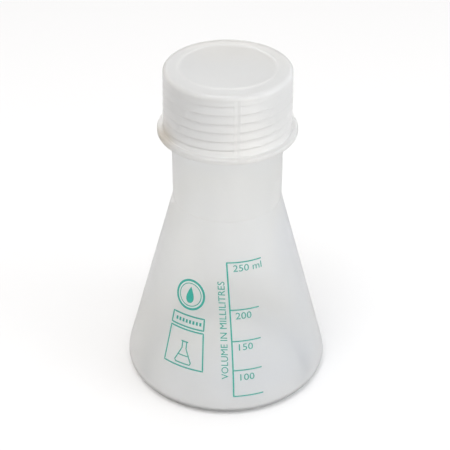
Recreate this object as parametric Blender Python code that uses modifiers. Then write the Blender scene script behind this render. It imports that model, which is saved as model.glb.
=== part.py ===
"""A 250 ml conical laboratory flask with a screw cap and a sealing washer.

Three separate pieces, all turned about +Z, with the foot of the flask on z = 0:
- flask_body, a thin conical shell with an outside thread on its neck;
- seal_washer, a flat ring that is pressed onto the rim of the neck;
- screw_cap, a cup with an inside thread and a flange along its lower edge.
The threads are right-handed. The cap turns about +Z and rises one pitch for each turn, and the washer rises with it.
"""
import math

import bmesh
import bpy

MM = 0.001
SEGMENTS = 40  # facets round every turned piece

# Flask
FLASK_HEIGHT = 139.3 * MM
BASE_RADIUS = 44.0 * MM
BASE_CORNER = 4.0 * MM
CONE_HALF_ANGLE = math.radians(14.9)
WALL = 1.5 * MM
FOOT_INNER_RADIUS = 33.0 * MM
PUNT_RADIUS = 29.5 * MM
PUNT_HEIGHT = 1.5 * MM
NECK_RADIUS = 22.6 * MM
NECK_WALL = 1.8 * MM
SHOULDER_RADIUS = 8.0 * MM
RIM_CHAMFER = 0.4 * MM

# Washer between the rim and the cap
SEAT_GAP = 0.3 * MM
WASHER_THICKNESS = 1.5 * MM
WASHER_RADIUS = 23.6 * MM
WASHER_HOLE_RADIUS = 19.4 * MM

# Cap, with heights from its bottom edge
CAP_HEIGHT = 28.0 * MM
CAP_TOP_THICKNESS = 1.8 * MM
CAP_TOP_RADIUS = 25.6 * MM
CAP_FOOT_RADIUS = 26.1 * MM
CAP_CORNER = 1.9 * MM
CAP_BORE_RADIUS = 24.1 * MM
CAP_LEAD_IN = 0.8 * MM
FLANGE_RADIUS = 28.4 * MM
FLANGE_HEIGHT = 2.2 * MM
FLANGE_EDGE = 0.5 * MM
BEAD_RADIUS = 19.4 * MM
BEAD_HALF_WIDTH = 0.6 * MM
BEAD_HEIGHT = 0.3 * MM

# Thread, the same ridge on the neck and in the cap
THREAD_PITCH = 3.75 * MM
THREAD_DEPTH = 1.1 * MM
THREAD_ROOT_HALF_WIDTH = 0.95 * MM
THREAD_CREST_HALF_WIDTH = 0.35 * MM
THREAD_ROOT_BURIED = 0.4 * MM
THREAD_RUN_OUT_STEPS = 4
THREAD_FLANK_OFFSET = 1.45 * MM  # the cap's ridge lies this far under the neck's ridge
NECK_THREAD_BOTTOM = 118.6 * MM
NECK_THREAD_TURNS = 4.75
CAP_THREAD_TURNS = 5.85

CAP_BOTTOM = FLASK_HEIGHT + 2 * SEAT_GAP + WASHER_THICKNESS + CAP_TOP_THICKNESS - CAP_HEIGHT


def clear_scene():
    for item in list(bpy.data.objects):
        bpy.data.objects.remove(item, do_unlink=True)


def new_collection(name):
    collection = bpy.data.collections.new(name)
    bpy.context.scene.collection.children.link(collection)
    return collection


def plastic(name, colour, roughness, transmission):
    material = bpy.data.materials.new(name)
    material.use_nodes = True
    shader = material.node_tree.nodes["Principled BSDF"]
    shader.inputs["Base Color"].default_value = (*colour, 1.0)
    shader.inputs["Roughness"].default_value = roughness
    shader.inputs["Metallic"].default_value = 0.0
    shader.inputs["Transmission Weight"].default_value = transmission
    material.diffuse_color = (*colour, 1.0)
    return material


def arc(centre_radius, centre_z, radius, first_degrees, last_degrees, steps):
    """Points (radius, z) of an arc, both ends included."""
    points = []
    for step in range(steps + 1):
        angle = math.radians(first_degrees + (last_degrees - first_degrees) * step / steps)
        points.append((centre_radius + radius * math.cos(angle), centre_z + radius * math.sin(angle)))
    return points


def turned(name, outline, collection, height=0.0, closed=False):
    """A solid turned about Z from an outline of (radius, z) points whose outer side runs downwards."""
    mesh = bpy.data.meshes.new(name)
    points = [(radius, 0.0, z) for radius, z in outline]
    edges = [(index, index + 1) for index in range(len(points) - 1)]
    if closed:
        edges.append((len(points) - 1, 0))
    mesh.from_pydata(points, edges, [])
    item = bpy.data.objects.new(name, mesh)
    item.location.z = height
    collection.objects.link(item)
    screw = item.modifiers.new("turn", "SCREW")
    screw.axis = "Z"
    screw.steps = SEGMENTS
    screw.render_steps = SEGMENTS
    screw.use_merge_vertices = True
    screw.merge_threshold = 0.00001
    screw.use_smooth_shade = True
    return item


def thread_ridge(name, wall_radius, side, bottom_z, turns, collection, height=0.0):
    """A right-handed ridge on a round wall: side is 1 for an outside thread and -1 for an inside one.

    Its sections stand halfway between the facet corners of the wall. At both ends the crest
    sinks into the wall over a few sections.
    """
    ridge = bmesh.new()
    rings = []
    steps = round(turns * SEGMENTS)
    buried = -side * THREAD_ROOT_BURIED
    for step in range(steps + 1):
        angle = 2 * math.pi * (step + 0.5) / SEGMENTS
        centre_z = bottom_z + THREAD_PITCH * step / SEGMENTS
        rise = min(1.0, min(step, steps - step) / THREAD_RUN_OUT_STEPS)
        crest = buried / 2 + rise * (side * THREAD_DEPTH - buried / 2)
        section = (
            (wall_radius + buried, -THREAD_ROOT_HALF_WIDTH),
            (wall_radius + crest, -THREAD_CREST_HALF_WIDTH),
            (wall_radius + crest, THREAD_CREST_HALF_WIDTH),
            (wall_radius + buried, THREAD_ROOT_HALF_WIDTH),
        )
        rings.append([
            ridge.verts.new((radius * math.cos(angle), radius * math.sin(angle), centre_z + z))
            for radius, z in section
        ])
    for ring, following in zip(rings, rings[1:]):
        for corner in range(4):
            after = (corner + 1) % 4
            ridge.faces.new((ring[corner], ring[after], following[after], following[corner]))
    ridge.faces.new(rings[0])
    ridge.faces.new(reversed(rings[-1]))
    bmesh.ops.recalc_face_normals(ridge, faces=ridge.faces)
    mesh = bpy.data.meshes.new(name)
    ridge.to_mesh(mesh)
    ridge.free()
    item = bpy.data.objects.new(name, mesh)
    item.location.z = height
    item.hide_render = True
    item.display_type = "WIRE"
    collection.objects.link(item)
    return item


def join(item, other):
    union = item.modifiers.new("join_" + other.name, "BOOLEAN")
    union.operation = "UNION"
    union.solver = "EXACT"
    union.object = other


def cone_radius(z, offset):
    """The radius of the cone's wall at a height, moved inwards square to the wall by an offset."""
    corner = BASE_CORNER - offset
    tangent_radius = BASE_RADIUS - BASE_CORNER + corner * math.cos(CONE_HALF_ANGLE)
    tangent_z = BASE_CORNER + corner * math.sin(CONE_HALF_ANGLE)
    return tangent_radius - (z - tangent_z) * math.tan(CONE_HALF_ANGLE)


def cone_height(radius, offset):
    """The height at which that wall reaches a radius."""
    return (cone_radius(0.0, offset) - radius) / math.tan(CONE_HALF_ANGLE)


def flask_outline():
    """Up the inside from the axis, over the rim, and down the outside to the foot."""
    half_angle = math.degrees(CONE_HALF_ANGLE)
    corner_radius = BASE_RADIUS - BASE_CORNER
    bore = NECK_RADIUS - NECK_WALL
    fillet_centre = NECK_RADIUS + SHOULDER_RADIUS
    fillet_z = cone_height(NECK_RADIUS, 0.0) + SHOULDER_RADIUS * math.tan(CONE_HALF_ANGLE / 2)
    outline = [
        (0.0, PUNT_HEIGHT + WALL),
        (PUNT_RADIUS, PUNT_HEIGHT + WALL),
        (FOOT_INNER_RADIUS, WALL),
    ]
    outline += arc(corner_radius, BASE_CORNER, BASE_CORNER - WALL, -90.0, half_angle, 3)
    outline += [
        (bore, cone_height(bore, WALL)),
        (bore, FLASK_HEIGHT - RIM_CHAMFER),
        (bore + RIM_CHAMFER, FLASK_HEIGHT),
        (NECK_RADIUS - RIM_CHAMFER, FLASK_HEIGHT),
        (NECK_RADIUS, FLASK_HEIGHT - RIM_CHAMFER),
    ]
    outline += arc(fillet_centre, fillet_z, SHOULDER_RADIUS, 180.0, 180.0 + half_angle, 2)
    outline += arc(corner_radius, BASE_CORNER, BASE_CORNER, half_angle, 0.0, 1)
    outline += arc(corner_radius, BASE_CORNER, BASE_CORNER, 0.0, -90.0, 4)[1:]
    outline += [
        (FOOT_INNER_RADIUS, 0.0),
        (PUNT_RADIUS, PUNT_HEIGHT),
        (0.0, PUNT_HEIGHT),
    ]
    return outline


def cap_outline():
    """Out from the axis along the top, down the outside, round the flange and up the inside."""
    inner_top = CAP_HEIGHT - CAP_TOP_THICKNESS
    outline = [
        (0.0, CAP_HEIGHT),
        (BEAD_RADIUS - BEAD_HALF_WIDTH, CAP_HEIGHT),
        (BEAD_RADIUS, CAP_HEIGHT + BEAD_HEIGHT),
        (BEAD_RADIUS + BEAD_HALF_WIDTH, CAP_HEIGHT),
    ]
    outline += arc(CAP_TOP_RADIUS - CAP_CORNER, CAP_HEIGHT - CAP_CORNER, CAP_CORNER, 90.0, 0.0, 4)
    outline += [
        (CAP_FOOT_RADIUS, FLANGE_HEIGHT),
        (FLANGE_RADIUS - FLANGE_EDGE, FLANGE_HEIGHT),
        (FLANGE_RADIUS, FLANGE_HEIGHT - FLANGE_EDGE),
        (FLANGE_RADIUS, FLANGE_EDGE),
        (FLANGE_RADIUS - FLANGE_EDGE, 0.0),
        (CAP_BORE_RADIUS + CAP_LEAD_IN, 0.0),
        (CAP_BORE_RADIUS, CAP_LEAD_IN),
        (CAP_BORE_RADIUS, inner_top),
        (0.0, inner_top),
    ]
    return outline


def make_flask(parts, guides):
    flask = turned("flask_body", flask_outline(), parts)
    ridge = thread_ridge(
        "neck_thread", NECK_RADIUS, 1, NECK_THREAD_BOTTOM, NECK_THREAD_TURNS, guides
    )
    join(flask, ridge)
    flask.data.materials.append(plastic("frosted_plastic", (0.80, 0.82, 0.82), 0.38, 0.35))
    return flask


def make_washer(parts):
    outline = [
        (WASHER_RADIUS, WASHER_THICKNESS),
        (WASHER_RADIUS, 0.0),
        (WASHER_HOLE_RADIUS, 0.0),
        (WASHER_HOLE_RADIUS, WASHER_THICKNESS),
    ]
    washer = turned("seal_washer", outline, parts, FLASK_HEIGHT + SEAT_GAP, closed=True)
    washer.data.materials.append(plastic("soft_seal", (0.86, 0.87, 0.86), 0.55, 0.2))
    return washer


def make_cap(parts, guides):
    cap = turned("screw_cap", cap_outline(), parts, CAP_BOTTOM)
    ridge_bottom = NECK_THREAD_BOTTOM - THREAD_FLANK_OFFSET - CAP_BOTTOM
    ridge = thread_ridge(
        "cap_thread", CAP_BORE_RADIUS, -1, ridge_bottom, CAP_THREAD_TURNS, guides, CAP_BOTTOM
    )
    join(cap, ridge)
    cap.data.materials.append(plastic("cap_plastic", (0.84, 0.85, 0.85), 0.32, 0.35))
    return cap


def main():
    clear_scene()
    parts = new_collection("conical_flask")
    guides = new_collection("guides")
    make_flask(parts, guides)
    washer = make_washer(parts)
    cap = make_cap(parts, guides)
    cap.parent = washer
    cap.location.z = CAP_BOTTOM - washer.location.z


main()
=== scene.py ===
"""Looks for the conical flask: fine moulded shapes, frosted plastic, the printed scale and the studio.

Azimuths here are degrees from the front of the flask (-Y) towards its right (+X). Lengths are metres.
"""
import math

import bmesh
import bpy
import numpy as np
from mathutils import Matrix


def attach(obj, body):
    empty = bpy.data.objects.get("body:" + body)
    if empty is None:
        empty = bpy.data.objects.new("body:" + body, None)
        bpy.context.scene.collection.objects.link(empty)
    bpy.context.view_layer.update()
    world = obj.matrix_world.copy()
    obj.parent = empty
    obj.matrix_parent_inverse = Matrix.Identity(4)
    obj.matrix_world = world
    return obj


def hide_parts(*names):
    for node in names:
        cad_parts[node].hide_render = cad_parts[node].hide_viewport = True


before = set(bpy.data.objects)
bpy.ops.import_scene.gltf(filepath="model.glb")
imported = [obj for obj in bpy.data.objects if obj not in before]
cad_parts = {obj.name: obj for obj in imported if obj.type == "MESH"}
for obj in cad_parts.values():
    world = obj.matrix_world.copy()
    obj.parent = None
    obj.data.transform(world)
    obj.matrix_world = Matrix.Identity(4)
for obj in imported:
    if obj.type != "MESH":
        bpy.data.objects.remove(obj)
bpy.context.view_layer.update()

MM = 0.001

# Flask, as in the CAD, apart from the shoulder's outer corner, which is a fine crease here
FLASK_HEIGHT = 139.3 * MM
BASE_RADIUS = 44.0 * MM
BASE_CORNER = 4.0 * MM
CONE_HALF_ANGLE = math.radians(14.9)
WALL = 1.5 * MM
FOOT_INNER_RADIUS = 33.0 * MM
PUNT_RADIUS = 29.5 * MM
PUNT_HEIGHT = 1.5 * MM
NECK_RADIUS = 22.6 * MM
NECK_WALL = 1.8 * MM
SHOULDER_RADIUS = 8.0 * MM

# Washer and cap, as in the CAD, apart from the bead, which is lower and wider here
SEAT_GAP = 0.3 * MM
WASHER_THICKNESS = 1.5 * MM
WASHER_RADIUS = 23.6 * MM
WASHER_HOLE_RADIUS = 19.4 * MM
CAP_HEIGHT = 28.0 * MM
CAP_TOP_THICKNESS = 1.8 * MM
CAP_TOP_RADIUS = 25.6 * MM
CAP_FOOT_RADIUS = 26.1 * MM
CAP_CORNER = 1.9 * MM
CAP_BORE_RADIUS = 24.1 * MM
FLANGE_RADIUS = 28.4 * MM
FLANGE_HEIGHT = 2.2 * MM
BEAD_RADIUS = 19.4 * MM
BEAD_HALF_WIDTH = 1.1 * MM
BEAD_HEIGHT = 0.12 * MM
CAP_BOTTOM = FLASK_HEIGHT + 2 * SEAT_GAP + WASHER_THICKNESS + CAP_TOP_THICKNESS - CAP_HEIGHT

# Threads, as in the CAD, with rounded flanks
THREAD_PITCH = 3.75 * MM
THREAD_DEPTH = 1.1 * MM
THREAD_START_ANGLE = math.radians(4.5)
THREAD_FOOT_HALF_WIDTH = 0.79 * MM
THREAD_CREST_HALF_WIDTH = 0.35 * MM
THREAD_RUN_OUT_TURNS = 0.1
NECK_THREAD_BOTTOM = 118.6 * MM
NECK_THREAD_TURNS = 4.75
CAP_THREAD_BOTTOM = 117.15 * MM
CAP_THREAD_TURNS = 5.85

# Marks that moulding leaves
CREASE_DEPTH = 0.08 * MM
CREASE_HALF_WIDTH = 0.45 * MM
STEP_DEPTH = 0.07 * MM
STEP_SHARE = 0.15
STEP_FADE_LOW = 1.5 * MM
STEP_FADE_HIGH = 1.0 * MM
GROOVE_AZIMUTH = 8.2
GROOVE_HALF_WIDTH = 1.3 * MM
GROOVE_DEPTH = 0.14 * MM
GROOVE_EDGE_SHARE = 0.12
SEAM_AZIMUTHS = (84.0, 264.0)
SEAM_HALF_WIDTH = 0.3 * MM
SEAM_HEIGHT = 0.07 * MM
SEAM_CONE_TOP = 85.0 * MM

# Where colour is painted on the plastic: painted shade on the base's floor, a painted brown reflection on the
# cap's flange and painted light towards the foot
# A dark smoky arc painted on the back of the flask's inner floor: painted shade
SHADE_ARC_CENTRE = (0.0, -13.0 * MM, 0.0)
SHADE_ARC_RADIUS = 35.7 * MM
SHADE_ARC_REACH = 3.6 * MM
# A painted reflection of something brown on the left end of the cap's flange
BROWN_REFLECTION_CENTRE = (-26.7 * MM, -9.7 * MM, CAP_BOTTOM)
BROWN_REFLECTION_REACH = 13.0 * MM
# Towards the foot the plastic lets less light through and is painted lighter: painted light that lifts the
# shade near the floor
LIT_MILKY_FOOT_REACH = 18.0 * MM

# Small roundings and clearances
FOOT_ROUNDING = 2.0 * MM
CREASE_EDGE_ROUNDING = 0.4 * MM
CREASE_ROUNDING = 0.3 * MM
RIM_OUTER_ROUNDING = 0.4 * MM
RIM_INNER_ROUNDING = 0.5 * MM
THREAD_FREE_BELOW = 1.5 * MM
THREAD_FREE_ABOVE = 1.2 * MM
WASHER_ROUNDING = 0.3 * MM
BEAD_FOOT_ROUNDING = 2.0 * MM
BEAD_ROUNDING = 1.0 * MM
WALL_FOOT_ROUNDING = 0.5 * MM
FLANGE_UPPER_ROUNDING = 0.8 * MM
FLANGE_LOWER_ROUNDING = 0.6 * MM
LEAD_IN_WIDTH = 0.4 * MM
LEAD_IN_HEIGHT = 0.8 * MM
LEAD_IN_LOWER_ROUNDING = 0.6 * MM
LEAD_IN_UPPER_ROUNDING = 0.5 * MM
CAP_INNER_ROUNDING = 0.6 * MM

# Mesh, with its angles in radians
SEGMENTS = 144
FINE_STEP = math.radians(0.25)
FINE_STEPS_EACH_WAY = 16
LEAST_STEP = 0.0015
ANGLE_DECIMALS = 6
ON_AXIS = 1e-9
PLAIN_SPACING = 1.6 * MM
FINE_SPACING = 0.16 * MM
ROUNDING_STEP = math.radians(13.0)

# Which faces of a moulding look at its hollow
FLOOR_NORMAL = 0.9
INWARD_SHARE = 0.2
INNER_FLOOR_LOW = 0.7 * MM
INNER_FLOOR_HIGH = 10.0 * MM


def smooth_step(values):
    clipped = np.clip(values, 0.0, 1.0)
    return clipped * clipped * (3.0 - 2.0 * clipped)


def cone_radius(z, offset=0.0):
    """The radius of the cone's wall at a height, moved inwards square to the wall by an offset."""
    corner = BASE_CORNER - offset
    tangent_radius = BASE_RADIUS - BASE_CORNER + corner * math.cos(CONE_HALF_ANGLE)
    tangent_z = BASE_CORNER + corner * math.sin(CONE_HALF_ANGLE)
    return tangent_radius - (z - tangent_z) * math.tan(CONE_HALF_ANGLE)


def cone_height(radius, offset=0.0):
    """The height at which that wall reaches a radius."""
    return (cone_radius(0.0, offset) - radius) / math.tan(CONE_HALF_ANGLE)


def rounded_profile(corners, closed=False):
    """Points (radius, z, relief name) along straight sides whose corners are rounded.

    A corner is (radius, z, rounding, spacing, relief name). The last two belong to the side that leads to it.
    """
    count = len(corners)
    places = [np.array(corner[:2]) for corner in corners]
    cuts = []
    for index in range(count):
        rounding = corners[index][2]
        if rounding == 0.0 or (not closed and index in (0, count - 1)):
            cuts.append([places[index]])
            continue
        back = places[index - 1] - places[index]
        ahead = places[(index + 1) % count] - places[index]
        back /= np.linalg.norm(back)
        ahead /= np.linalg.norm(ahead)
        half = math.acos(float(np.clip(back @ ahead, -1.0, 1.0))) / 2
        middle = (back + ahead) / np.linalg.norm(back + ahead)
        centre = places[index] + middle * rounding / math.sin(half)
        first = places[index] + back * rounding / math.tan(half) - centre
        last = places[index] + ahead * rounding / math.tan(half) - centre
        turn = math.pi - 2 * half
        steps = max(2, math.ceil(turn / ROUNDING_STEP))
        cut = []
        for step in range(steps + 1):
            part = step / steps
            weights = (math.sin((1 - part) * turn), math.sin(part * turn))
            cut.append(centre + (weights[0] * first + weights[1] * last) / math.sin(turn))
        cuts.append(cut)
    points = []
    for index in range(count):
        spacing, relief = corners[index][3:]
        if closed or index > 0:
            start = cuts[index - 1][-1]
            end = cuts[index][0]
            pieces = max(1, math.ceil(float(np.linalg.norm(end - start)) / spacing))
            for piece in range(1, pieces):
                between = start + (end - start) * piece / pieces
                points.append((between[0], between[1], relief))
        points.extend((point[0], point[1], relief) for point in cuts[index])
    return points


def turned(name, points, reliefs=None, fine_azimuths=(), closed=False):
    """A solid turned about Z from a profile, with narrower segments at the fine azimuths.

    reliefs has, for each relief name, a function of (angles, z) that gives the change of the radius.
    """
    angles = set(np.round(np.arange(SEGMENTS) * 2 * math.pi / SEGMENTS, ANGLE_DECIMALS))
    for azimuth in fine_azimuths:
        middle = math.radians(azimuth - 90.0)
        for step in range(-FINE_STEPS_EACH_WAY, FINE_STEPS_EACH_WAY + 1):
            angles.add(round((middle + FINE_STEP * step) % (2 * math.pi), ANGLE_DECIMALS))
    angles = np.array(sorted(angles))
    angles = angles[np.concatenate(([True], np.diff(angles) > LEAST_STEP))]
    around = len(angles)
    vertices = []
    rows = []
    for radius, z, relief in points:
        if radius < ON_AXIS:
            rows.append([len(vertices)] * around)
            vertices.append((0.0, 0.0, z))
            continue
        radii = np.full(around, radius)
        if relief:
            radii = radii + reliefs[relief](angles, z)
        first = len(vertices)
        rows.append(range(first, first + around))
        vertices.extend(zip(radii * np.cos(angles), radii * np.sin(angles), np.full(around, z)))
    faces = []
    pairs = list(zip(rows, rows[1:]))
    if closed:
        pairs.append((rows[-1], rows[0]))
    for row, following in pairs:
        for step in range(around):
            after = (step + 1) % around
            corners = (row[step], row[after], following[after], following[step])
            faces.append(tuple(dict.fromkeys(corners)))
    mesh = bpy.data.meshes.new(name)
    mesh.from_pydata([tuple(map(float, vertex)) for vertex in vertices], [], faces)
    clean = bmesh.new()
    clean.from_mesh(mesh)
    bmesh.ops.recalc_face_normals(clean, faces=clean.faces)
    clean.to_mesh(mesh)
    clean.free()
    mesh.polygons.foreach_set("use_smooth", [True] * len(mesh.polygons))
    item = bpy.data.objects.new(name, mesh)
    bpy.context.scene.collection.objects.link(item)
    return item


def ridge_height(angles, z, bottom, turns, foot_half_width, crest_half_width):
    """From 0 to 1: how far a right-handed ridge stands up at each angle of a height."""
    part = ((angles - THREAD_START_ANGLE) / (2 * math.pi)) % 1.0
    along = (z - bottom) / THREAD_PITCH - part
    turn = np.round(along)
    distance = np.abs(along - turn) * THREAD_PITCH
    flank = smooth_step((foot_half_width - distance) / (foot_half_width - crest_half_width))
    done = turn + part
    run_out = smooth_step(np.minimum(done, turns - done) / THREAD_RUN_OUT_TURNS)
    return flank * run_out


def neck_relief(angles, z):
    ridge = ridge_height(
        angles, z, NECK_THREAD_BOTTOM, NECK_THREAD_TURNS, THREAD_FOOT_HALF_WIDTH, THREAD_CREST_HALF_WIDTH
    )
    return THREAD_DEPTH * ridge + seam_relief(angles, z)


def seam_relief(angles, z):
    """The fine parting line that the two halves of the mould leave down both sides."""
    lift = np.zeros(len(angles))
    for azimuth in SEAM_AZIMUTHS:
        distance = arc_distance(angles, azimuth, cone_radius(min(z, SEAM_CONE_TOP)))
        lift += SEAM_HEIGHT * smooth_step(1.0 - np.abs(distance) / SEAM_HALF_WIDTH)
    return lift


def arc_distance(angles, azimuth, radius):
    """The signed distance along a circle from an azimuth to each angle."""
    turn = angles - math.radians(azimuth - 90.0)
    return ((turn + math.pi) % (2 * math.pi) - math.pi) * radius


def bore_relief(angles, z):
    ridge = ridge_height(
        angles, z, CAP_THREAD_BOTTOM, CAP_THREAD_TURNS, THREAD_FOOT_HALF_WIDTH, THREAD_CREST_HALF_WIDTH
    )
    return -THREAD_DEPTH * ridge


def cap_side_relief(angles, z):
    """Along each turn of the thread the wall is drawn in to a fine line, and above it flares out again.

    The upright groove has no such lines in it.
    """
    part = ((angles - THREAD_START_ANGLE) / (2 * math.pi)) % 1.0
    along = (z - CAP_THREAD_BOTTOM) / THREAD_PITCH - part
    share = along - np.floor(along)
    flare = ((1.0 - share) / (1.0 - STEP_SHARE)) ** 2
    back = smooth_step(share / STEP_SHARE)
    sunk = STEP_DEPTH * (1.0 - np.where(share > STEP_SHARE, flare, back))
    distance = np.abs(arc_distance(angles, GROOVE_AZIMUTH, CAP_FOOT_RADIUS)) / GROOVE_HALF_WIDTH
    fade = smooth_step((z - CAP_BOTTOM - FLANGE_HEIGHT) / STEP_FADE_LOW)
    fade *= smooth_step((CAP_BOTTOM + CAP_HEIGHT - CAP_CORNER - z) / STEP_FADE_HIGH)
    groove = GROOVE_DEPTH * np.clip(1.0 - distance, 0.0, 1.0)
    return -sunk * fade * smooth_step((distance - 1.0) / GROOVE_EDGE_SHARE) - groove


def make_flask():
    bore = NECK_RADIUS - NECK_WALL
    shoulder = cone_height(NECK_RADIUS)
    crease_low = shoulder - CREASE_HALF_WIDTH
    thread_low = NECK_THREAD_BOTTOM - THREAD_FREE_BELOW
    thread_high = NECK_THREAD_BOTTOM + NECK_THREAD_TURNS * THREAD_PITCH + THREAD_FREE_ABOVE
    base_edge = cone_radius(0.0)
    inner_base_edge = cone_radius(WALL, WALL)
    corners = [
        (0.0, PUNT_HEIGHT, 0.0, PLAIN_SPACING, ""),
        (PUNT_RADIUS, PUNT_HEIGHT, FOOT_ROUNDING, 4 * PLAIN_SPACING, ""),
        (FOOT_INNER_RADIUS, 0.0, FOOT_ROUNDING, PLAIN_SPACING, ""),
        (base_edge, 0.0, BASE_CORNER, PLAIN_SPACING, ""),
        (cone_radius(crease_low), crease_low, CREASE_EDGE_ROUNDING, PLAIN_SPACING, "seam"),
        (NECK_RADIUS - CREASE_DEPTH, shoulder, CREASE_ROUNDING, FINE_SPACING, "seam"),
        (NECK_RADIUS, shoulder + CREASE_HALF_WIDTH, CREASE_EDGE_ROUNDING, FINE_SPACING, "seam"),
        (NECK_RADIUS, thread_low, 0.0, PLAIN_SPACING, "seam"),
        (NECK_RADIUS, thread_high, 0.0, FINE_SPACING, "thread"),
        (NECK_RADIUS, FLASK_HEIGHT, RIM_OUTER_ROUNDING, PLAIN_SPACING, ""),
        (bore, FLASK_HEIGHT, RIM_INNER_ROUNDING, PLAIN_SPACING, ""),
        (bore, cone_height(bore, WALL), SHOULDER_RADIUS + WALL, 2 * PLAIN_SPACING, ""),
        (inner_base_edge, WALL, BASE_CORNER - WALL, 2 * PLAIN_SPACING, ""),
        (FOOT_INNER_RADIUS, WALL, FOOT_ROUNDING, PLAIN_SPACING, ""),
        (PUNT_RADIUS, PUNT_HEIGHT + WALL, FOOT_ROUNDING, PLAIN_SPACING, ""),
        (0.0, PUNT_HEIGHT + WALL, 0.0, 4 * PLAIN_SPACING, ""),
    ]
    reliefs = {"thread": neck_relief, "seam": seam_relief}
    return turned("flask_shell", rounded_profile(corners), reliefs, SEAM_AZIMUTHS)


def make_washer():
    low = FLASK_HEIGHT + SEAT_GAP
    high = low + WASHER_THICKNESS
    corners = [
        (WASHER_RADIUS, low, WASHER_ROUNDING, PLAIN_SPACING, ""),
        (WASHER_RADIUS, high, WASHER_ROUNDING, PLAIN_SPACING, ""),
        (WASHER_HOLE_RADIUS, high, WASHER_ROUNDING, PLAIN_SPACING, ""),
        (WASHER_HOLE_RADIUS, low, WASHER_ROUNDING, PLAIN_SPACING, ""),
    ]
    return turned("seal_ring", rounded_profile(corners, closed=True), closed=True)


def make_cap():
    top = CAP_BOTTOM + CAP_HEIGHT
    inner_top = top - CAP_TOP_THICKNESS
    thread_high = CAP_THREAD_BOTTOM + CAP_THREAD_TURNS * THREAD_PITCH + THREAD_FREE_ABOVE
    flange_top = CAP_BOTTOM + FLANGE_HEIGHT
    corners = [
        (0.0, top, 0.0, PLAIN_SPACING, ""),
        (BEAD_RADIUS - BEAD_HALF_WIDTH, top, BEAD_FOOT_ROUNDING, 3 * PLAIN_SPACING, ""),
        (BEAD_RADIUS, top + BEAD_HEIGHT, BEAD_ROUNDING, PLAIN_SPACING, ""),
        (BEAD_RADIUS + BEAD_HALF_WIDTH, top, BEAD_FOOT_ROUNDING, PLAIN_SPACING, ""),
        (CAP_TOP_RADIUS, top, CAP_CORNER, PLAIN_SPACING, ""),
        (CAP_FOOT_RADIUS, flange_top, WALL_FOOT_ROUNDING, FINE_SPACING, "side"),
        (FLANGE_RADIUS, flange_top, FLANGE_UPPER_ROUNDING, PLAIN_SPACING, "side"),
        (FLANGE_RADIUS, CAP_BOTTOM, FLANGE_LOWER_ROUNDING, PLAIN_SPACING, "side"),
        (CAP_BORE_RADIUS + LEAD_IN_WIDTH, CAP_BOTTOM, LEAD_IN_LOWER_ROUNDING, PLAIN_SPACING, ""),
        (CAP_BORE_RADIUS, CAP_BOTTOM + LEAD_IN_HEIGHT, LEAD_IN_UPPER_ROUNDING, PLAIN_SPACING, ""),
        (CAP_BORE_RADIUS, thread_high, 0.0, FINE_SPACING, "bore"),
        (CAP_BORE_RADIUS, inner_top, CAP_INNER_ROUNDING, PLAIN_SPACING, ""),
        (0.0, inner_top, 0.0, 3 * PLAIN_SPACING, ""),
    ]
    reliefs = {"side": cap_side_relief, "bore": bore_relief}
    return turned("cap_shell", rounded_profile(corners), reliefs, (GROOVE_AZIMUTH,))


# Prints -------------------------------------------------------------------------------------------

# LINE_LEAN, TICK_OVERHANG, CAPTION_LEFT_OF_LINE, DASH_PITCH and DASH_SPAN are degrees, like the azimuths
INK_GAP = 0.025 * MM
INK_THICKNESS = 0.03 * MM
STROKE_SPACING = 0.8 * MM
TEXT_RESOLUTION = 3
BLOB_RINGS = 4

LINE_LOW = 9.5 * MM
LINE_HIGH = 68.2 * MM
LINE_STEPS = 40
LINE_WIDTH = 0.62 * MM
LINE_FOOT_AZIMUTH = 4.5
LINE_LEAN = 4.6
TICK_WIDTH = 0.5 * MM
TICK_OVERHANG = 0.4

CAPTION_LEFT_OF_LINE = 2.9
CAPTION_LOW = 17.4 * MM
CAPTION_HEIGHT = 2.9 * MM
CAPTION_LENGTH = 42.8 * MM

BADGE_AZIMUTH = -28.5
BADGE_LEVEL = 52.2 * MM
BADGE_RADIUS = 6.2 * MM
BADGE_WIDTH = 0.9 * MM
BADGE_INNER_GAP = 1.3 * MM
BADGE_INNER_WIDTH = 0.35 * MM
BADGE_POINTS = 48
DROP_HALF_HEIGHT = 3.6 * MM
DROP_HALF_WIDTH = 2.3 * MM
DROP_SHARPNESS = 1.2
DROP_CENTRE = -0.8 * MM

FRAME_WIDTH = 0.6 * MM
DASHES = 8
DASH_FIRST_AZIMUTH = -37.2
DASH_PITCH = 2.6
DASH_SPAN = 1.5
DASH_LEVEL = 40.45 * MM
DASH_WIDTH = 1.5 * MM
ICON_WIDTH = 0.5 * MM
ICON_RIM_WIDTH = 0.55 * MM
ICON_LEVEL_WIDTH = 0.45 * MM


def line_azimuth(z):
    """The upright line of the scale leans to the left towards its top."""
    part = (z - LINE_LOW) / (LINE_HIGH - LINE_LOW)
    return LINE_FOOT_AZIMUTH - LINE_LEAN * part * part


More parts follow.
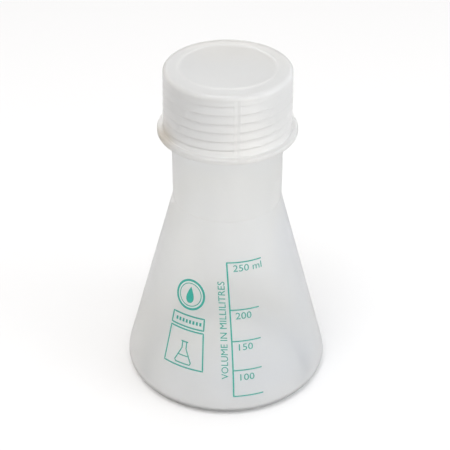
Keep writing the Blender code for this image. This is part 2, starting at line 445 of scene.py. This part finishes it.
class Ink:
    """One printed sheet, collected as flat shapes at (azimuth, z) on the cone."""

    def __init__(self, name):
        self.name = name
        self.places = []
        self.faces = []

    def add(self, places, faces):
        first = len(self.places)
        self.places.extend(places)
        self.faces.extend(tuple(first + index for index in face) for face in faces)

    def stroke(self, places, width, closed=False):
        """A ribbon of a width along places (azimuth, z), which are taken a small step at a time."""
        followers = places[1:] + places[:1] if closed else places[1:]
        path = []
        for start, end in zip(places, followers):
            radius = cone_radius((start[1] + end[1]) / 2)
            across = math.radians(end[0] - start[0]) * radius
            pieces = max(1, math.ceil(math.hypot(across, end[1] - start[1]) / STROKE_SPACING))
            for piece in range(pieces):
                part = piece / pieces
                path.append((start[0] + (end[0] - start[0]) * part, start[1] + (end[1] - start[1]) * part))
        if not closed:
            path.append(places[-1])
        count = len(path)
        edges = []
        for index in range(count):
            before = path[(index - 1) % count] if closed or index > 0 else path[index]
            after = path[(index + 1) % count] if closed or index < count - 1 else path[index]
            radius = cone_radius(path[index][1])
            ahead = np.array((math.radians(after[0] - before[0]) * radius, after[1] - before[1]))
            ahead /= np.linalg.norm(ahead)
            side = np.array((-ahead[1], ahead[0])) * width / 2
            turn = math.degrees(side[0] / radius)
            edges.append((path[index][0] + turn, path[index][1] + side[1]))
            edges.append((path[index][0] - turn, path[index][1] - side[1]))
        faces = []
        for index in range(count if closed else count - 1):
            after = (index + 1) % count
            faces.append((2 * index, 2 * index + 1, 2 * after + 1, 2 * after))
        self.add(edges, faces)

    def blob(self, outline, centre):
        """A filled shape that is star-shaped seen from its centre."""
        count = len(outline)
        places = [centre]
        faces = []
        for ring in range(1, BLOB_RINGS + 1):
            share = ring / BLOB_RINGS
            for azimuth, z in outline:
                ring_azimuth = centre[0] + (azimuth - centre[0]) * share
                ring_z = centre[1] + (z - centre[1]) * share
                places.append((ring_azimuth, ring_z))
        for index in range(count):
            after = (index + 1) % count
            faces.append((0, 1 + index, 1 + after))
            for ring in range(BLOB_RINGS - 1):
                low = 1 + ring * count
                faces.append((low + index, low + count + index, low + count + after, low + after))
        self.add(places, faces)

    def text(self, words, azimuth, z, height, length, upright=False):
        """Words from the left end of their baseline.

        Upright words read upwards, and their azimuth is a function of the height.
        """
        curve = bpy.data.curves.new(self.name, "FONT")
        curve.body = words
        curve.resolution_u = TEXT_RESOLUTION
        item = bpy.data.objects.new(self.name, curve)
        bpy.context.scene.collection.objects.link(item)
        bpy.context.view_layer.update()
        flat = item.evaluated_get(bpy.context.evaluated_depsgraph_get()).to_mesh()
        low = np.min([vertex.co[:2] for vertex in flat.vertices], axis=0)
        high = np.max([vertex.co[:2] for vertex in flat.vertices], axis=0)
        places = []
        for vertex in flat.vertices:
            along = (vertex.co[0] - low[0]) / (high[0] - low[0]) * length
            up = (vertex.co[1] - low[1]) / (high[1] - low[1]) * height
            if upright:
                level = z + along
                places.append((azimuth(level) - math.degrees(up / cone_radius(level)), level))
            else:
                places.append((azimuth + math.degrees(along / cone_radius(z)), z + up))
        faces = [tuple(polygon.vertices) for polygon in flat.polygons]
        self.add(places, faces)
        item.to_mesh_clear()
        bpy.data.objects.remove(item, do_unlink=True)
        bpy.data.curves.remove(curve)

    def make(self):
        """The sheet as a thin solid just clear of the wall."""
        vertices = []
        for azimuth, z in self.places:
            radius = cone_radius(z) + (INK_GAP + INK_THICKNESS) / math.cos(CONE_HALF_ANGLE)
            turn = math.radians(azimuth)
            vertices.append((radius * math.sin(turn), -radius * math.cos(turn), z))
        mesh = bpy.data.meshes.new(self.name)
        mesh.from_pydata(vertices, [], self.faces)
        item = bpy.data.objects.new(self.name, mesh)
        bpy.context.scene.collection.objects.link(item)
        solid = item.modifiers.new("ink", "SOLIDIFY")
        solid.thickness = INK_THICKNESS
        solid.offset = -1.0
        return item


def degrees_of(length, z):
    return math.degrees(length / cone_radius(z))


def make_scale():
    """The upright line, its five ticks and their labels."""
    ink = Ink("print_scale")
    levels = np.linspace(LINE_LOW, LINE_HIGH, LINE_STEPS)
    ink.stroke([(line_azimuth(z), z) for z in levels], LINE_WIDTH)
    # height in millimetres and azimuth of the right-hand end
    ticks = ((68.2, 30.9), (47.9, 24.4), (34.15, 23.5), (21.15, 22.3), (9.5, 21.9))
    for z, end in ticks:
        level = z * MM
        ink.stroke([(line_azimuth(level) - TICK_OVERHANG, level), (end, level)], TICK_WIDTH)
    # azimuth, then height above the foot, height of the figures and length in millimetres
    labels = (
        ("250 ml", 5.4, 64.3, 2.8, 12.4),
        ("200", 6.65, 43.8, 2.9, 6.8),
        ("150", 8.3, 30.0, 2.9, 6.1),
        ("100", 8.6, 16.5, 2.9, 6.2),
    )
    for words, azimuth, z, figure_height, length in labels:
        ink.text(words, azimuth, z * MM, figure_height * MM, length * MM)
    return ink.make()


def caption_azimuth(z):
    return line_azimuth(z) - CAPTION_LEFT_OF_LINE


def make_caption():
    """A plain caption to the left of the line, reading upwards."""
    ink = Ink("print_caption")
    words = "VOLUME IN MILLILITRES"
    ink.text(words, caption_azimuth, CAPTION_LOW, CAPTION_HEIGHT, CAPTION_LENGTH, upright=True)
    return ink.make()


def on_badge(across, up):
    """The (azimuth, z) of a place measured from the badge's middle."""
    return (BADGE_AZIMUTH + degrees_of(across, BADGE_LEVEL), BADGE_LEVEL + up)


def make_badge():
    """A plain round badge: two rings round a drop of liquid."""
    ink = Ink("print_badge")
    turns = np.linspace(0.0, 2 * math.pi, BADGE_POINTS, endpoint=False)
    rings = ((BADGE_RADIUS, BADGE_WIDTH), (BADGE_RADIUS - BADGE_INNER_GAP, BADGE_INNER_WIDTH))
    for radius, width in rings:
        circle = [on_badge(radius * math.cos(turn), radius * math.sin(turn)) for turn in turns]
        ink.stroke(circle, width, closed=True)
    drop = []
    for turn in turns:
        up = DROP_HALF_HEIGHT * math.cos(turn)
        across = DROP_HALF_WIDTH * math.sin(turn) * math.sin(turn / 2) ** DROP_SHARPNESS
        drop.append(on_badge(across, up))
    ink.blob(drop, on_badge(0.0, DROP_CENTRE))
    return ink.make()


def make_frames():
    """A narrow frame with a row of plain dashes over a square frame with a small flask in it.

    The lists hold azimuths, and heights in millimetres.
    """
    ink = Ink("print_frames")
    narrow = [(-40.1, 43.0), (-15.6, 43.0), (-15.6, 37.9), (-40.3, 37.9)]
    square = [(-40.3, 36.6), (-15.6, 36.6), (-14.4, 19.8), (-41.1, 19.8)]
    for frame_corners in (narrow, square):
        ink.stroke([(azimuth, z * MM) for azimuth, z in frame_corners], FRAME_WIDTH, closed=True)
    for index in range(DASHES):
        azimuth = DASH_FIRST_AZIMUTH + DASH_PITCH * index
        ink.stroke([(azimuth, DASH_LEVEL), (azimuth + DASH_SPAN, DASH_LEVEL)], DASH_WIDTH)
    outline = [
        (-29.6, 31.2), (-29.6, 28.2), (-33.6, 22.2), (-32.9, 21.3),
        (-23.3, 21.3), (-22.6, 22.2), (-26.6, 28.2), (-26.6, 31.2),
    ]
    rim = [(-30.6, 31.2), (-25.6, 31.2)]
    liquid = [(-31.6, 24.9), (-24.6, 24.9)]
    icon = ((outline, ICON_WIDTH), (rim, ICON_RIM_WIDTH), (liquid, ICON_LEVEL_WIDTH))
    for places, width in icon:
        ink.stroke([(azimuth, z * MM) for azimuth, z in places], width)
    return ink.make()


# Materials ----------------------------------------------------------------------------------------

# Sockets of a Mix node that share their names with those of its other data types
MIX_FIRST_COLOUR = 6
MIX_SECOND_COLOUR = 7
MIX_COLOUR_RESULT = 2

# Noises in features per metre, and the depths of the reliefs made from them
CLOUD_SCALE = 45.0
DRIFT_SCALE = 16.0
WAVE_SCALE = 260.0
WAVE_DEPTH = 0.06 * MM
GRAIN_SCALE = 700.0
GRAIN_DEPTH = 0.008 * MM
PLASTIC_BUMP = 0.3
PLASTIC_IOR = 1.45
COAT_ROUGHNESS = 0.13
INK_COVER_SCALE = 1400.0
INK_SHEEN_SCALE = 500.0
INK_BUMP = 0.2
INK_DEPTH = 0.02 * MM

EVEN = (1.0, 1.0, 1.0)
UPRIGHT = (1.0, 1.0, 0.25)
SLIGHTLY_UPRIGHT = (1.0, 1.0, 0.6)


def grey(value):
    return (value, value, value)


def new_material(name):
    material = bpy.data.materials.new(name)
    material.use_nodes = True
    nodes = material.node_tree.nodes
    return material, nodes, material.node_tree.links, nodes["Principled BSDF"]


def noise(nodes, links, scale, detail, stretch=EVEN):
    """A noise in the object's own frame, in features per metre, drawn out where stretch is under 1."""
    coordinates = nodes.new("ShaderNodeTexCoord")
    mapping = nodes.new("ShaderNodeMapping")
    mapping.inputs["Scale"].default_value = stretch
    links.new(coordinates.outputs["Object"], mapping.inputs["Vector"])
    texture = nodes.new("ShaderNodeTexNoise")
    texture.inputs["Scale"].default_value = scale
    texture.inputs["Detail"].default_value = detail
    links.new(mapping.outputs["Vector"], texture.inputs["Vector"])
    return texture.outputs["Fac"]


def ramp(nodes, links, source, stops):
    """A colour ramp with (position, colour) stops."""
    node = nodes.new("ShaderNodeValToRGB")
    elements = node.color_ramp.elements
    while len(elements) < len(stops):
        elements.new(0.5)
    for element, (position, colour) in zip(elements, stops):
        element.position = position
        element.color = (*colour, 1.0)
    links.new(source, node.inputs["Fac"])
    return node.outputs["Color"]


def distance_from(nodes, links, centre, directions=EVEN):
    """How far a point is from a centre, in metres. A direction counts by its share in directions."""
    coordinates = nodes.new("ShaderNodeTexCoord")
    offset = nodes.new("ShaderNodeVectorMath")
    offset.operation = "SUBTRACT"
    offset.inputs[1].default_value = centre
    links.new(coordinates.outputs["Object"], offset.inputs[0])
    flat = nodes.new("ShaderNodeVectorMath")
    flat.operation = "MULTIPLY"
    flat.inputs[1].default_value = directions
    links.new(offset.outputs["Vector"], flat.inputs[0])
    length = nodes.new("ShaderNodeVectorMath")
    length.operation = "LENGTH"
    links.new(flat.outputs["Vector"], length.inputs[0])
    return length.outputs["Value"]


def distance_from_axis(nodes, links):
    """How far a point is from the flask's axis, in metres."""
    return distance_from(nodes, links, (0.0, 0.0, 0.0), (1.0, 1.0, 0.0))


def distance_from_shade_arc_centre(nodes, links):
    """The same from the upright line at the centre of the base's arc of painted shade."""
    return distance_from(nodes, links, SHADE_ARC_CENTRE, (1.0, 1.0, 0.0))


def height_above_foot(nodes, links):
    """How far a point is above the foot of the flask, in metres."""
    coordinates = nodes.new("ShaderNodeTexCoord")
    parts = nodes.new("ShaderNodeSeparateXYZ")
    links.new(coordinates.outputs["Object"], parts.inputs["Vector"])
    return parts.outputs["Z"]


def near(nodes, links, source, middle, reach):
    """1 where a value is at the middle, falling smoothly to 0 at a distance from it."""
    offset = nodes.new("ShaderNodeMath")
    offset.operation = "SUBTRACT"
    offset.inputs[1].default_value = middle
    links.new(source, offset.inputs[0])
    away = nodes.new("ShaderNodeMath")
    away.operation = "ABSOLUTE"
    links.new(offset.outputs["Value"], away.inputs[0])
    fall = nodes.new("ShaderNodeMapRange")
    fall.interpolation_type = "SMOOTHSTEP"
    fall.inputs["From Max"].default_value = reach
    fall.inputs["To Min"].default_value = 1.0
    fall.inputs["To Max"].default_value = 0.0
    links.new(away.outputs["Value"], fall.inputs["Value"])
    return fall.outputs["Result"]


def blend(nodes, links, mask, colour, other):
    """A colour that turns into another where the mask is 1."""
    mix = nodes.new("ShaderNodeMix")
    mix.data_type = "RGBA"
    mix.inputs[MIX_SECOND_COLOUR].default_value = (*other, 1.0)
    links.new(mask, mix.inputs["Factor"])
    links.new(colour, mix.inputs[MIX_FIRST_COLOUR])
    return mix.outputs[MIX_COLOUR_RESULT]


def bump(nodes, links, source, strength, distance, before=None):
    """The normal of a relief of a depth in metres, on top of the one before it."""
    node = nodes.new("ShaderNodeBump")
    node.inputs["Strength"].default_value = strength
    node.inputs["Distance"].default_value = distance
    links.new(source, node.inputs["Height"])
    if before:
        links.new(before, node.inputs["Normal"])
    return node.outputs["Normal"]


def frosted_plastic(
    name, dark, light, tint, roughness, transmission, streaks, coat=0.0, painted_zone=None, painted_reflection=None
):
    """Natural polypropylene: milk-white, uneven in thickness, with a faint orange peel and flow streaks.

    dark and light are the two ends of its clouds, tint is where they drift to, and streaks is their stretch.
    painted_zone is (measure, middle, reach, colour, transmission), for a zone painted lighter or darker as
    painted light or shade, where the wall also lets more or less light through. Its measure is a function
    such as height_above_foot. painted_reflection is (centre, reach, colour), a patch of painted reflection.
    """
    material, nodes, links, shader = new_material(name)
    cloud = noise(nodes, links, CLOUD_SCALE, 3.0, streaks)
    colour = ramp(nodes, links, cloud, ((0.3, dark), (0.7, light)))
    drift = noise(nodes, links, DRIFT_SCALE, 1.0)
    tinted = ramp(nodes, links, drift, ((0.42, grey(0.0)), (0.58, grey(1.0))))
    colour = blend(nodes, links, tinted, colour, tint)
    # Painted reflection: a warm brown patch blended in round a centre
    if painted_reflection:
        centre, spread, brown = painted_reflection
        spot = near(nodes, links, distance_from(nodes, links, centre), 0.0, spread)
        colour = blend(nodes, links, spot, colour, brown)
    shader.inputs["Transmission Weight"].default_value = transmission
    # A zone painted lighter or darker as painted light or shade, with its own share of light let through
    if painted_zone:
        measure, middle, reach, painted_colour, through = painted_zone
        mask = near(nodes, links, measure(nodes, links), middle, reach)
        colour = blend(nodes, links, mask, colour, painted_colour)
        if through != transmission:
            weight = ramp(nodes, links, mask, ((0.0, grey(transmission)), (1.0, grey(through))))
            links.new(weight, shader.inputs["Transmission Weight"])
    links.new(colour, shader.inputs["Base Color"])
    grain = noise(nodes, links, GRAIN_SCALE, 2.0)
    low, high = roughness
    finish = ramp(nodes, links, grain, ((0.3, grey(low)), (0.7, grey(high))))
    links.new(finish, shader.inputs["Roughness"])
    wave = noise(nodes, links, WAVE_SCALE, 2.0)
    grained = bump(nodes, links, grain, PLASTIC_BUMP, GRAIN_DEPTH)
    waved = bump(nodes, links, wave, PLASTIC_BUMP, WAVE_DEPTH, grained)
    links.new(waved, shader.inputs["Normal"])
    shader.inputs["IOR"].default_value = PLASTIC_IOR
    shader.inputs["Coat Weight"].default_value = coat
    shader.inputs["Coat Roughness"].default_value = COAT_ROUGHNESS
    return material


def shell_plastic():
    """The frosted outside of the flask, milkier towards its foot, where it is also painted lighter: painted
    light that lifts the shade near the floor.
    """
    return frosted_plastic(
        "frosted_polypropylene",
        dark=(0.86, 0.86, 0.845),
        light=(0.905, 0.905, 0.89),
        tint=(0.855, 0.87, 0.89),
        roughness=(0.29, 0.32),
        transmission=0.75,
        streaks=UPRIGHT,
        # Painted light towards the foot, where the wall also lets less light through
        painted_zone=(height_above_foot, 0.0, LIT_MILKY_FOOT_REACH, (0.91, 0.91, 0.905), 0.71),
    )


def smooth_lining():
    """The smoother inside of the flask."""
    return frosted_plastic(
        "smooth_lining",
        dark=(0.93, 0.94, 0.935),
        light=(0.95, 0.955, 0.95),
        tint=(0.94, 0.945, 0.95),
        roughness=(0.06, 0.1),
        transmission=0.95,
        streaks=UPRIGHT,
    )


def milky_floor():
    """The upper side of the flask's base, with a dark smoky arc of painted shade at its back."""
    return frosted_plastic(
        "milky_floor",
        dark=(0.96, 0.965, 0.96),
        light=(0.975, 0.98, 0.975),
        tint=(0.965, 0.97, 0.975),
        roughness=(0.3, 0.4),
        transmission=0.0,
        streaks=EVEN,
        # Painted shade: the dark smoky arc on the back of the inner floor
        painted_zone=(distance_from_shade_arc_centre, SHADE_ARC_RADIUS, SHADE_ARC_REACH, (0.57, 0.60, 0.65), 0.0),
    )


def cap_plastic():
    """The outside of the cap, painted lighter and less see-through along its bead as a painted highlight, and
    with a painted brown reflection at the left end of its flange.
    """
    return frosted_plastic(
        "cap_polypropylene",
        dark=(0.89, 0.88, 0.86),
        light=(0.935, 0.925, 0.905),
        tint=(0.895, 0.90, 0.90),
        roughness=(0.29, 0.33),
        transmission=0.62,
        streaks=SLIGHTLY_UPRIGHT,
        coat=0.1,
        # Painted highlight: the bead's ring painted lighter and less see-through
        painted_zone=(distance_from_axis, BEAD_RADIUS, BEAD_HALF_WIDTH, (0.92, 0.92, 0.915), 0.52),
        # Painted reflection of something brown on the left end of the flange
        painted_reflection=(BROWN_REFLECTION_CENTRE, BROWN_REFLECTION_REACH, (0.69, 0.64, 0.565)),
    )


def cap_lining():
    """The inside of the cap."""
    return frosted_plastic(
        "cap_lining",
        dark=(0.93, 0.94, 0.935),
        light=(0.95, 0.955, 0.95),
        tint=(0.94, 0.945, 0.95),
        roughness=(0.25, 0.3),
        transmission=0.85,
        streaks=UPRIGHT,
    )


def seal_foam():
    return frosted_plastic(
        "seal_foam",
        dark=(0.70, 0.71, 0.70),
        light=(0.78, 0.79, 0.78),
        tint=(0.74, 0.74, 0.73),
        roughness=(0.5, 0.62),
        transmission=0.15,
        streaks=EVEN,
    )


def ink_material():
    """Screen-printed ink: slightly uneven cover and sheen."""
    material, nodes, links, shader = new_material("teal_ink")
    cover = noise(nodes, links, INK_COVER_SCALE, 5.0)
    tones = ((0.35, (0.018, 0.36, 0.295)), (0.65, (0.012, 0.29, 0.238)))
    links.new(ramp(nodes, links, cover, tones), shader.inputs["Base Color"])
    sheen = noise(nodes, links, INK_SHEEN_SCALE, 3.0)
    finish = ramp(nodes, links, sheen, ((0.3, grey(0.42)), (0.7, grey(0.6))))
    links.new(finish, shader.inputs["Roughness"])
    links.new(bump(nodes, links, cover, INK_BUMP, INK_DEPTH), shader.inputs["Normal"])
    return material


# Studio -------------------------------------------------------------------------------------------

FLOOR_HALF_SIZE = 2.5
FLOOR_COLOUR = (0.78, 0.78, 0.785, 1.0)
FLOOR_ROUGHNESS = 0.8

# Warmer on the left, cooler on the right
SKY_COLOURS = ((0.0, (0.80, 0.735, 0.66)), (0.5, (0.95, 0.95, 0.95)), (1.0, (0.91, 0.93, 0.955)))
SKY_STRENGTH = 1.08

SENSOR_WIDTH = 36.0
LENS = 93.06
CAMERA_PLACE = (-0.0008, -0.4093, 0.3470)
CAMERA_LOOKS_DOWN = 34.24
CAMERA_ROLL = 0.35


def make_floor():
    mesh = bpy.data.meshes.new("studio_floor")
    half = FLOOR_HALF_SIZE
    corners = [(-half, -half, 0.0), (half, -half, 0.0), (half, half, 0.0), (-half, half, 0.0)]
    mesh.from_pydata(corners, [], [(0, 1, 2, 3)])
    floor = bpy.data.objects.new("studio_floor", mesh)
    bpy.context.scene.collection.objects.link(floor)
    material, _, _, shader = new_material("studio_white")
    shader.inputs["Base Color"].default_value = FLOOR_COLOUR
    shader.inputs["Roughness"].default_value = FLOOR_ROUGHNESS
    shader.inputs["Specular IOR Level"].default_value = 0.0
    mesh.materials.append(material)


def make_world():
    """A pale sky whose colour goes from left to right."""
    world = bpy.data.worlds.new("studio")
    world.use_nodes = True
    nodes = world.node_tree.nodes
    links = world.node_tree.links
    background = nodes["Background"]
    background.inputs["Strength"].default_value = SKY_STRENGTH
    direction = nodes.new("ShaderNodeTexCoord")
    parts = nodes.new("ShaderNodeSeparateXYZ")
    links.new(direction.outputs["Generated"], parts.inputs["Vector"])
    side = nodes.new("ShaderNodeMapRange")
    side.inputs["From Min"].default_value = -1.0
    links.new(parts.outputs["X"], side.inputs["Value"])
    links.new(ramp(nodes, links, side.outputs["Result"], SKY_COLOURS), background.inputs["Color"])
    bpy.context.scene.world = world


def soft_light(name, azimuth, elevation, distance, width, height, power, colour, aim=0.08):
    """An oblong area light that looks at a height, aim, on the flask's axis."""
    data = bpy.data.lights.new(name, "AREA")
    data.shape = "RECTANGLE"
    data.size = width
    data.size_y = height
    data.energy = power
    data.color = colour
    light = bpy.data.objects.new(name, data)
    turn = math.radians(azimuth)
    tilt = math.radians(elevation)
    away = (math.sin(turn) * math.cos(tilt), -math.cos(turn) * math.cos(tilt), math.sin(tilt))
    light.location = [part * distance for part in away]
    light.location.z += aim
    light.rotation_euler = (math.pi / 2 - tilt, 0.0, turn)
    light.visible_camera = False
    bpy.context.scene.collection.objects.link(light)
    return light


def make_lights(closure):
    """Two large soft lights, and a strip that puts a highlight on the cap alone."""
    strip = soft_light(
        "strip", azimuth=36.0, elevation=-11.5, distance=0.45, width=0.2, height=0.06, power=0.45,
        colour=(1.0, 0.96, 0.90), aim=0.13,
    )
    lit_by_strip = bpy.data.collections.new("lit_by_strip")
    lit_by_strip.objects.link(closure)
    strip.light_linking.receiver_collection = lit_by_strip
    soft_light(
        "top", azimuth=-30.0, elevation=72.0, distance=1.0, width=0.5, height=0.5, power=4.05,
        colour=(1.0, 1.0, 1.0),
    )
    soft_light(
        "right", azimuth=70.0, elevation=16.0, distance=1.0, width=0.6, height=0.6, power=3.0,
        colour=(0.97, 0.99, 1.0),
    )


def make_camera():
    """The camera. Its Euler order turns it about its own line of sight first, which is the roll."""
    data = bpy.data.cameras.new("camera")
    data.sensor_width = SENSOR_WIDTH
    data.lens = LENS
    camera = bpy.data.objects.new("camera", data)
    camera.location = CAMERA_PLACE
    camera.rotation_mode = "ZYX"
    camera.rotation_euler = (math.radians(90.0 - CAMERA_LOOKS_DOWN), 0.0, math.radians(CAMERA_ROLL))
    bpy.context.scene.collection.objects.link(camera)
    bpy.context.scene.camera = camera


# Assembly -----------------------------------------------------------------------------------------

# Where a moulding's materials stand: its outside comes first
LINING_INDEX = 1
INNER_FLOOR_INDEX = 2


def line_inside(item, wall, floor=None):
    """Gives the faces that look at the hollow their own finish, and the floor of the hollow another."""
    mesh = item.data
    mesh.materials.append(wall)
    if floor:
        mesh.materials.append(floor)
    for face in mesh.polygons:
        x, y, z = face.center
        across = x * face.normal.x + y * face.normal.y
        under_lid = z > FLASK_HEIGHT and face.normal.z < -FLOOR_NORMAL
        if across < -INWARD_SHARE * math.hypot(x, y) or under_lid:
            face.material_index = LINING_INDEX
        if floor and INNER_FLOOR_LOW < z < INNER_FLOOR_HIGH and face.normal.z > FLOOR_NORMAL:
            face.material_index = INNER_FLOOR_INDEX


def place(item, body, material, node=None):
    item.data.materials.append(material)
    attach(item, body)
    if node:
        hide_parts(node)


def main():
    flask = make_flask()
    place(flask, "flask", shell_plastic(), "flask_body")
    line_inside(flask, smooth_lining(), milky_floor())
    place(make_washer(), "washer", seal_foam(), "seal_washer")
    closure = make_cap()
    place(closure, "cap", cap_plastic(), "screw_cap")
    line_inside(closure, cap_lining())
    ink = ink_material()
    for sheet in (make_scale(), make_caption(), make_badge(), make_frames()):
        place(sheet, "flask", ink)
    make_floor()
    make_world()
    make_lights(closure)
    bpy.context.scene.view_settings.view_transform = "Standard"
    make_camera()


main()
